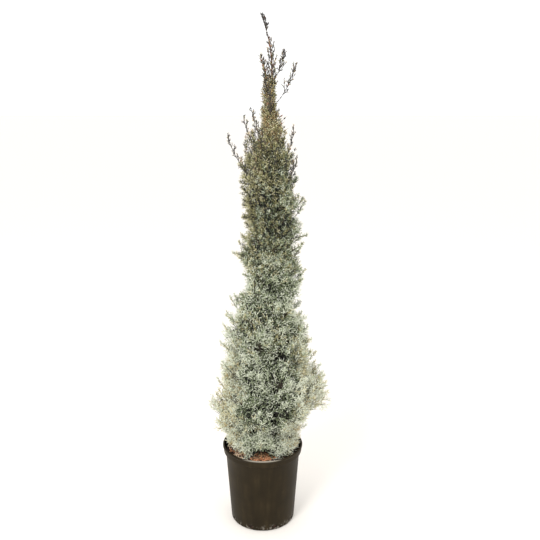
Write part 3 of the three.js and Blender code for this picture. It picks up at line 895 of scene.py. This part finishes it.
def growSprigs(twigs, settings, random):
    hosts, count = len(twigs["owner"]), settings["count"]
    parent = np.repeat(np.arange(hosts), count)
    place = np.tile(np.arange(count), hosts)
    along = (place + settings["jitter"] * random.random(len(place))) / (count - 1)
    u = np.minimum(mix(settings["start"], 1, along), 1)
    host = pick(twigs, parent)
    turn = goldenTurn * place + (2 * np.pi * random.random(hosts))[parent]
    spread = np.where(place == count - 1, settings["endSpread"], mix(*settings["spread"], u))
    way = unit(offAxis(wayOn(host, u), np.radians(spread), turn) + zUp * settings["lift"])
    made = {"root": pointOn(host, u), "way": way, "owner": host["owner"], "rise": settings["rise"]}
    longest = mix(*settings["length"], u) * vary(settings["vary"], len(u), random)
    outer = settings["over"] * (1 - settings["ragged"] * random.random(hosts))[parent]
    made["length"] = freeLength(made, longest, settings["slack"], outer)
    return pick(made, made["length"] > settings["shortest"])


def growCords(sprigs, settings, random):
    hosts, count = len(sprigs["owner"]), settings["count"]
    parent = np.repeat(np.arange(hosts), count)
    place = np.tile(np.arange(count), hosts)
    jitter = settings["jitter"]
    along = (place + jitter * random.random(len(place))) / (count - 1 + jitter)
    v = mix(settings["start"], settings["end"], along)
    host = pick(sprigs, parent)
    turn = goldenTurn * place + (2 * np.pi * random.random(hosts))[parent]
    way = offAxis(wayOn(host, v), np.radians(mix(*settings["spread"], v)), turn)
    length = mix(*settings["length"], v) * (1 - settings["uneven"] * random.random(len(v)))
    return {"root": pointOn(host, v), "way": way, "owner": host["owner"], "rise": settings["rise"],
            "length": length, "parent": parent, "place": v}


def growBuds(twigs, random):
    count = len(twigs["owner"])
    u = np.full(count, bud["start"])
    made = {"root": pointOn(twigs, u), "way": wayOn(twigs, u), "owner": twigs["owner"], "rise": 0.0,
            "length": mix(*bud["length"], random.random(count))}
    black = random.random(count) < bud["black"]
    made["tint"] = np.where(black, tintOrder.index("bud_black"), tintOrder.index("rust"))
    return pick(made, random.random(count) < bud["share"])


# Corners of three-sided rings, one ring for each shoot.
def ringCorners(centres, ways, radius):
    first = across(ways)
    second = np.cross(ways, first)
    turns = [2 * math.pi * k / 3 for k in range(3)]
    wide = np.reshape(radius, (-1, 1))
    return np.stack([centres + (first * math.cos(a) + second * math.sin(a)) * wide for a in turns], 1)


# Tapered sticks with a flat foot and a pointed tip.
def stickBodies(shoots, footRadius, tipRadius, rings):
    ones = np.ones(len(shoots["owner"]))
    corners = []
    for share in np.arange(rings) / rings:
        radius = mix(footRadius, tipRadius, share)
        corners.append(ringCorners(pointOn(shoots, share * ones), wayOn(shoots, share * ones), radius))
    corners.append(pointOn(shoots, ones)[:, None])
    edges = ((0, 1), (1, 2), (2, 0))
    faces = [(0, 2, 1)]
    for low in range(0, 3 * (rings - 1), 3):
        for a, b in edges:
            faces += [(low + a, low + b, low + b + 3), (low + a, low + b + 3, low + a + 3)]
    end = 3 * (rings - 1)
    faces += [(end + a, end + b, end + 3) for a, b in edges]
    return np.concatenate(corners, 1), np.array(faces)


# Scale-leaved cords: slim spindles, thickest under their middle, with three faces to the foot and
# three to the tip.
def cordBodies(cords, radius):
    ones = np.ones(len(cords["owner"]))
    widest = cordShape["widest"] * ones
    ring = ringCorners(pointOn(cords, widest), wayOn(cords, widest), radius)
    foot = pointOn(cords, 0 * ones)[:, None]
    tip = pointOn(cords, ones)[:, None]
    faces = [(0, 2, 1), (0, 3, 2), (0, 1, 3), (1, 2, 4), (2, 3, 4), (3, 1, 4)]
    return np.concatenate([foot, ring, tip], 1), np.array(faces)


# One mesh of many bodies, with a tint for each body or for each of its faces.
def joinedMesh(name, groups, materials):
    points, triangles, tints = [], [], []
    start = 0
    for corners, faces, tint in groups:
        count, size = corners.shape[:2]
        if count == 0:
            continue
        firsts = start + np.arange(count) * size
        points.append(corners.reshape(-1, 3))
        triangles.append((firsts[:, None, None] + faces[None]).reshape(-1, 3))
        tints.append(np.broadcast_to(tint.reshape(count, -1), (count, len(faces))).ravel())
        start += count * size
    points = np.concatenate(points) * mm
    triangles = np.concatenate(triangles)
    mesh = bpy.data.meshes.new(name)
    mesh.vertices.add(len(points))
    mesh.vertices.foreach_set("co", points.ravel())
    mesh.loops.add(triangles.size)
    mesh.loops.foreach_set("vertex_index", triangles.ravel())
    mesh.polygons.add(len(triangles))
    mesh.polygons.foreach_set("loop_start", np.arange(0, triangles.size, 3))
    for material in materials:
        mesh.materials.append(material)
    mesh.polygons.foreach_set("material_index", np.concatenate(tints))
    mesh.polygons.foreach_set("use_smooth", np.ones(len(triangles), bool))
    mesh.update(calc_edges=True)
    print(name + ":", len(triangles), "triangles")
    return newObject(name, mesh)


# Tints: plain colours that are dealt out by spray

leafTints = {
    "shadow_green": "#16190c", "deep_green": "#3e4926", "grey_green": "#8b976f", "sage": "#bec6aa",
    "frost": "#e1e5d0", "moss": "#3f3d1b", "olive": "#85824c", "straw": "#b2ac7c", "cream": "#d5cfa8",
    "umber": "#33281f", "twig_brown": "#6b543a", "tan": "#9e834f", "buff": "#baa675", "rust": "#80503c",
    "bud_black": "#241f1c",
}
tintOrder = list(leafTints)
tintSeries = np.array([[tintOrder.index(name) for name in series] for series in (
    ("shadow_green", "deep_green", "grey_green", "sage", "frost"),
    ("shadow_green", "moss", "olive", "straw", "cream"),
    ("umber", "twig_brown", "tan", "buff", "buff"),
)])

# Living scale leaves: a wax bloom scatters light, so they look matt with a pale sheen at the edge.
waxLeaf = {"IOR": 1.45, "Roughness": 0.62, "Sheen Weight": 0.2, "Sheen Roughness": 0.5}
# Young twig bark, thin and dull.
twigTints = {"red_brown": "#372b22", "grey_brown": "#3f382e", "olive_brown": "#353223"}
twigBark = {"IOR": 1.45, "Roughness": 0.8}

tone = {
    "place": 0.7,  # along a sprig
    "depth": 11.5, "valley": 3.1, "scatter": 0.5,  # painted shade: darker inside and in the valleys
    "cordScatter": 1.0, "toTip": 1.4, "middle": 0.45, "footStep": 0.8,  # paler towards the tips
    "patch": (60, 0.4, 1.3), "olivePatch": (90, 0.25, 4.1),  # size, strength, phase
    "darker": (600, 1120, 1.65),  # from and to a height: less light up the crown
    "olive": (650, 1150, 0.8, 0.005),  # from and to a height, how much more, and more to the left
    "browner": (1160, 1340),
    # Light gets through the sides of the wide foot: from and to a share of the reach, the shade that it
    # takes off, from and to a height. There the foliage is more olive, browner and paler.
    "sides": (0.3, 0.75, 0.95, 440, 720), "sandy": (0.28, 0.05, 1.0),
}
fullLook = {"surface": 5.75, "shade": 1, "olive": 0.06, "brown": (0, 0.12)}
fineLook = {"surface": 5.9, "shade": 1, "olive": 0.06, "brown": (0, 0.1)}
# the inside's lower surface level is painted shade
innerLook = {"surface": 4.8, "shade": 1, "olive": 0.12, "brown": (0, 0.1)}
skirtLook = {"surface": 3.6, "shade": 1, "olive": 0.06, "brown": (0, 0)}
coreLook = {"surface": 4.8, "shade": 0.4, "olive": 1, "brown": (0.05, 0.45)}
uprightLook = {"surface": 4.0, "shade": 1, "olive": 0.6, "brown": (0.1, 0.25)}
wispLook = {"surface": 4.2, "shade": 1, "olive": 0.08, "brown": (0, 0.15)}
thinLook = {"surface": 2.7, "shade": 1, "olive": 0.7, "brown": (0.25, 0.55)}


def plainTints(prefix, tints, settings):
    made = []
    for name, code in tints.items():
        material, tree, shader = newMaterial(prefix + name, {**settings, "Base Color": hexColor(code)})
        made.append(material)
    return made


# Each spray's step from dark to pale, and its series: grey-green, olive or brown.
def dealTones(sprigs, look, random):
    tips = pointOn(sprigs, np.full(len(sprigs["owner"]), tone["place"]))
    reach, distance = crownReach(tips)
    height = tips[:, 2]
    low, high, thin, lowHeight, highHeight = tone["sides"]
    sideways = abs(tips - stemCentre(height))[:, 0] / reach
    aside = easeBetween(low, high, sideways) * (1 - easeBetween(lowHeight, highHeight, height))
    # painted shade: sprays deep in the crown and in the valleys between tufts get darker tints
    depth = np.maximum(fullSprig["over"] * denseReach(tips, reach) - distance, 0)
    shade = (depth / tone["depth"] + tone["valley"] * valleyShare(tips)) * (1 - thin * aside)
    level = look["surface"] - look["shade"] * shade
    moreOlive, moreBrown, paler = tone["sandy"]
    size, strength, phase = tone["patch"]
    level += strength * patches(tips, size, phase) + paler * aside
    level += random.normal(0, tone["scatter"], len(level))
    low, high, drop = tone["darker"]
    level -= drop * easeBetween(low, high, height)
    low, high, more, toLeft = tone["olive"]
    oliveShare = look["olive"] + (more - toLeft * tips[:, 0]) * easeBetween(low, high, height)
    size, strength, phase = tone["olivePatch"]
    oliveShare += strength * patches(tips, size, phase) + moreOlive * aside
    brownShare = mix(*look["brown"], easeBetween(*tone["browner"], height)) + moreBrown * aside
    draw = random.random((2, len(level)))
    series = np.where(draw[0] < brownShare, 2, np.where(draw[1] < oliveShare, 1, 0))
    return level, series


def tintOf(level, series):
    palest = tintSeries.shape[1] - 1
    return tintSeries[series, np.clip(np.rint(level), 0, palest).astype(int)]


bands = {  # plumes by number in each piece
    "skirt": (0, 5), "low": (6, 11), "waist": (12, 17), "middle": (18, 24), "upper": (25, 29),
    "top": (30, 33), "shoots": (34, 44),
}
plumeStem = {
    "pieces": 10, "overlap": 1.08, "taper": 0.95, "rings": 2, "leaderEnd": 8, "leaderRadius": (2.2, 1.6),
}


# The plumes' own stems and the end of the leader, as short straight lengths.
def stemLengths():
    lines = []
    steps = plumeStem["pieces"] + 1
    for order, plume in enumerate(plumes):
        boughed = crown["ring"] <= order < crown["ring"] + crown["boughs"]
        points, ways = onLine(plume["line"], np.linspace(crown["boughShare"] if boughed else 0, 1, steps))
        lines.append((points, order, crown["stemRadius"] if plume["dense"] else shoot["radius"]))
    leader = stemCentre(np.linspace(trunk["tip"], trunk["top"] - plumeStem["leaderEnd"], steps))
    lines.append((leader, len(plumes) - 1, plumeStem["leaderRadius"]))
    parts, thick = [], []
    for points, order, radius in lines:
        run = np.diff(points, axis=0)
        length = np.linalg.norm(run, axis=1)
        parts.append({"root": points[:-1], "way": run / length[:, None],
                      "length": plumeStem["overlap"] * length, "owner": np.full(len(run), order)})
        thick.append(np.linspace(*radius, len(run)))
    return {**join(parts), "thick": np.concatenate(thick), "rise": 0.0}


def growFoliage(random):
    coreTwigs = join([growSteepTwigs(coreTwig, random), growSteepTwigs(knobTwig, random)])
    thinTwigs = join([growShootTwigs(random), growSteepTwigs(leaderTwig, random),
                      growSteepTwigs(tuftTwig, random)])
    parts = []
    for twigs, sprig, cord, look in (
            (coreTwigs, coreSprig, coreCord, coreLook),
            (thinTwigs, thinSprig, thinCord, thinLook),
            (growSingles(upright, random), uprightSprig, uprightCord, uprightLook),
            (growSingles(wisp, random), uprightSprig, uprightCord, wispLook),
            (growSingles(skirtTwig, random), skirtSprig, fullCord, skirtLook),
            (growCrownTwigs(innerTwig, random), innerSprig, innerCord, innerLook),
            (growCrownTwigs(twig, random), fullSprig, fullCord, fullLook),
            (growCrownTwigs(fineTwig, random), fineSprig, fineCord, fineLook)):
        twigs["rise"] = twig["rise"]
        sprigs = growSprigs(twigs, sprig, random)
        cords = growCords(sprigs, cord, random)
        level, series = dealTones(sprigs, look, random)
        sprigs["tint"] = tintOf(level - tone["footStep"], series)
        cordLevel = level[cords["parent"]] + tone["toTip"] * (cords["place"] - tone["middle"])
        cordLevel += random.normal(0, tone["cordScatter"], len(cordLevel))
        cordSeries = series[cords["parent"]]
        foot, tip = tintOf(cordLevel - tone["footStep"], cordSeries), tintOf(cordLevel, cordSeries)
        cords["tint"] = np.stack([foot, foot, foot, tip, tip, tip], 1)
        parts.append((twigs, sprigs, cords, cord["radius"]))
        if look in (coreLook, thinLook):
            parts.append((pick(twigs, []), pick(sprigs, []), growBuds(twigs, random), bud["radius"]))
        print("foliage:", len(twigs["owner"]), "twigs,", len(level), "sprigs,", len(cordLevel), "cords")
    return parts


def inBand(shoots, first, last):
    return pick(shoots, (shoots["owner"] >= first) & (shoots["owner"] <= last))


def makeFoliage():
    groups = growFoliage(np.random.default_rng(twig["seed"]))
    stems = stemLengths()
    leafMaterials = plainTints("scale_leaf_", leafTints, waxLeaf)
    twigMaterials = plainTints("twig_bark_", twigTints, twigBark)
    for band, (first, last) in bands.items():
        limbs = inBand(stems, first, last)
        tip = plumeStem["taper"] * limbs["thick"]
        bodies = stickBodies(limbs, limbs["thick"], tip, plumeStem["rings"])
        sticks = [(*bodies, np.zeros(len(limbs["owner"]), int))]
        sprays = []
        for twigs, sprigs, cords, radius in groups:
            mine, axes, ends = [inBand(shoots, first, last) for shoots in (twigs, sprigs, cords)]
            tints = np.arange(len(mine["owner"])) % len(twigTints)
            sticks.append((*stickBodies(mine, *twig["radius"], twig["rings"]), tints))
            thick, thin = cordShape["axis"], cordShape["axisTaper"] * cordShape["axis"]
            sprays.append((*stickBodies(axes, thick, thin, cordShape["axisRings"]), axes["tint"]))
            sprays.append((*cordBodies(ends, radius), ends["tint"]))
        leaves = joinedMesh("leaves_" + band, sprays, leafMaterials)
        wood = joinedMesh("twigs_" + band, sticks, twigMaterials)
        nodes = [f"foliage_{order + 1:02d}" for order in range(first, last + 1)]
        if band == "shoots":
            nodes.append("leader_tip_foliage")
        settle(leaves, "foliage", *nodes)
        settle(wood, "foliage", *nodes)


# Litter: dead sprays that lie on the mix inside the rim

litter = {
    "count": 720, "radius": (46, 117), "lift": (0, 5), "tilt": 16, "length": (22, 40), "seed": 31,
    "thickness": (1.1, 0.8), "rings": 2, "underLip": 2, "spill": 3,
    "paler": -45, "palerTints": (0, 0, 3),  # bleached to the left of this
    "under": (-72, -24),  # bearings where the skirt lies on the mix
    "cord": {**anyCord, "count": 4, "spread": (44, 28), "length": (8, 6), "uneven": 0.3, "radius": 1.3},
}
litter["finer"] = {**litter["cord"], "count": 3, "length": (5, 3), "radius": 1.0}
# Dead scale leaves: dry and matt, from bleached tan to wet brown.
litterTints = {"bleached": "#ecd2b4", "orange_tan": "#ffd6a8", "rust": "#f6b184", "wet_brown": "#c0855e"}
dryLeaf = {"IOR": 1.4, "Roughness": 0.9}


def makeLitter():
    random = np.random.default_rng(litter["seed"])
    count = litter["count"]
    inner, outer = litter["radius"]
    bearing = 2 * math.pi * random.random(count)
    radius = np.sqrt(mix(inner ** 2, outer ** 2, random.random(count)))
    height = soilHeight(radius) + mix(*litter["lift"], random.random(count))
    root = np.stack([radius * np.cos(bearing), radius * np.sin(bearing), height], 1)
    way = outWays(2 * math.pi * random.random(count), np.radians(random.normal(0, litter["tilt"], count)))
    length = mix(*litter["length"], random.random(count))
    end = root + way * length[:, None]
    lying = (np.hypot(end[:, 0], end[:, 1]) < outer) & (end[:, 2] < pot["height"] - litter["underLip"])
    toEnd = np.degrees(np.arctan2(end[:, 1], end[:, 0]))
    first, last = litter["under"]
    lying &= (toEnd < first) | (toEnd > last)
    twigs = {"root": root, "way": way, "length": length, "owner": np.zeros(count, int), "rise": 0.0}
    twigs = pick(twigs, lying)
    cords = growCords(twigs, litter["cord"], random)
    finer = growCords(cords, litter["finer"], random)
    finer = pick(finer, np.hypot(*finer["root"][:, :2].T) < outer + litter["spill"])
    draw = random.integers(0, len(litter["palerTints"]), len(twigs["owner"]))
    bleached = twigs["root"][:, 0] < litter["paler"]
    tint = np.where(bleached, np.array(litter["palerTints"])[draw], draw + 1)
    cordTint = tint[cords["parent"]]
    groups = [(*stickBodies(twigs, *litter["thickness"], litter["rings"]), tint),
              (*cordBodies(cords, litter["cord"]["radius"]), cordTint),
              (*cordBodies(finer, litter["finer"]["radius"]), cordTint[finer["parent"]])]
    sprays = joinedMesh("dead_sprays", groups, plainTints("dry_leaf_", litterTints, dryLeaf))
    settle(sprays, "potting_mix", "soil")


# Stage: pale floor, soft light, the photograph's camera

stage = {
    "floorSize": 120, "floorColor": "#f8f3ec", "worldColor": "#ffffff", "worldStrength": 1.15,
    "keyPower": 70, "keySize": 1.0, "keyPlace": (-1.3, -2.6, 2.7),
    "fillPower": 12, "fillSize": 2.2, "fillPlace": (2.4, -1.6, 1.8), "aim": (0, 0, 0.75),
}
view = {"lens": 46.667, "sensor": 36, "place": (0.0245, -2.13, 1.375), "pitch": 76.3}


def aim(thing, target):
    way = np.array(target) - np.array(thing.location)
    thing.rotation_euler = (math.atan2(math.hypot(way[0], way[1]), -way[2]), 0,
                            math.atan2(way[1], way[0]) - math.pi / 2)


def addLight(name, power, size, place):
    data = bpy.data.lights.new(name, "AREA")
    data.energy = power
    data.size = size
    lamp = newObject(name, data)
    lamp.location = place
    aim(lamp, stage["aim"])


def makeStage():
    bpy.ops.object.select_all(action="DESELECT")
    bpy.ops.mesh.primitive_plane_add(size=stage["floorSize"])
    floor = bpy.context.object
    floor.name = "pale_floor"
    paint, tree, shader = newMaterial(
        "pale_floor_paint", {"Base Color": hexColor(stage["floorColor"]), "Roughness": 0.7})
    floor.data.materials.append(paint)
    world = bpy.data.worlds.new("studio")
    world.use_nodes = True
    sky = world.node_tree.nodes["Background"]
    sky.inputs["Color"].default_value = hexColor(stage["worldColor"])
    sky.inputs["Strength"].default_value = stage["worldStrength"]
    bpy.context.scene.world = world
    bpy.context.scene.view_settings.view_transform = "Standard"  # colours as they are picked
    addLight("key_softbox", stage["keyPower"], stage["keySize"], stage["keyPlace"])
    addLight("fill_softbox", stage["fillPower"], stage["fillSize"], stage["fillPlace"])


def makeCamera():
    data = bpy.data.cameras.new("camera")
    data.lens = view["lens"]
    data.sensor_width = view["sensor"]
    camera = newObject("camera", data)
    camera.location = view["place"]
    camera.rotation_euler = (math.radians(view["pitch"]), 0, 0)
    bpy.context.scene.camera = camera


makeStage()
makeCamera()
makePot()
makeSoil()
makeWood()
makeFoliage()
makeLitter()

bpy.context.view_layer.update()
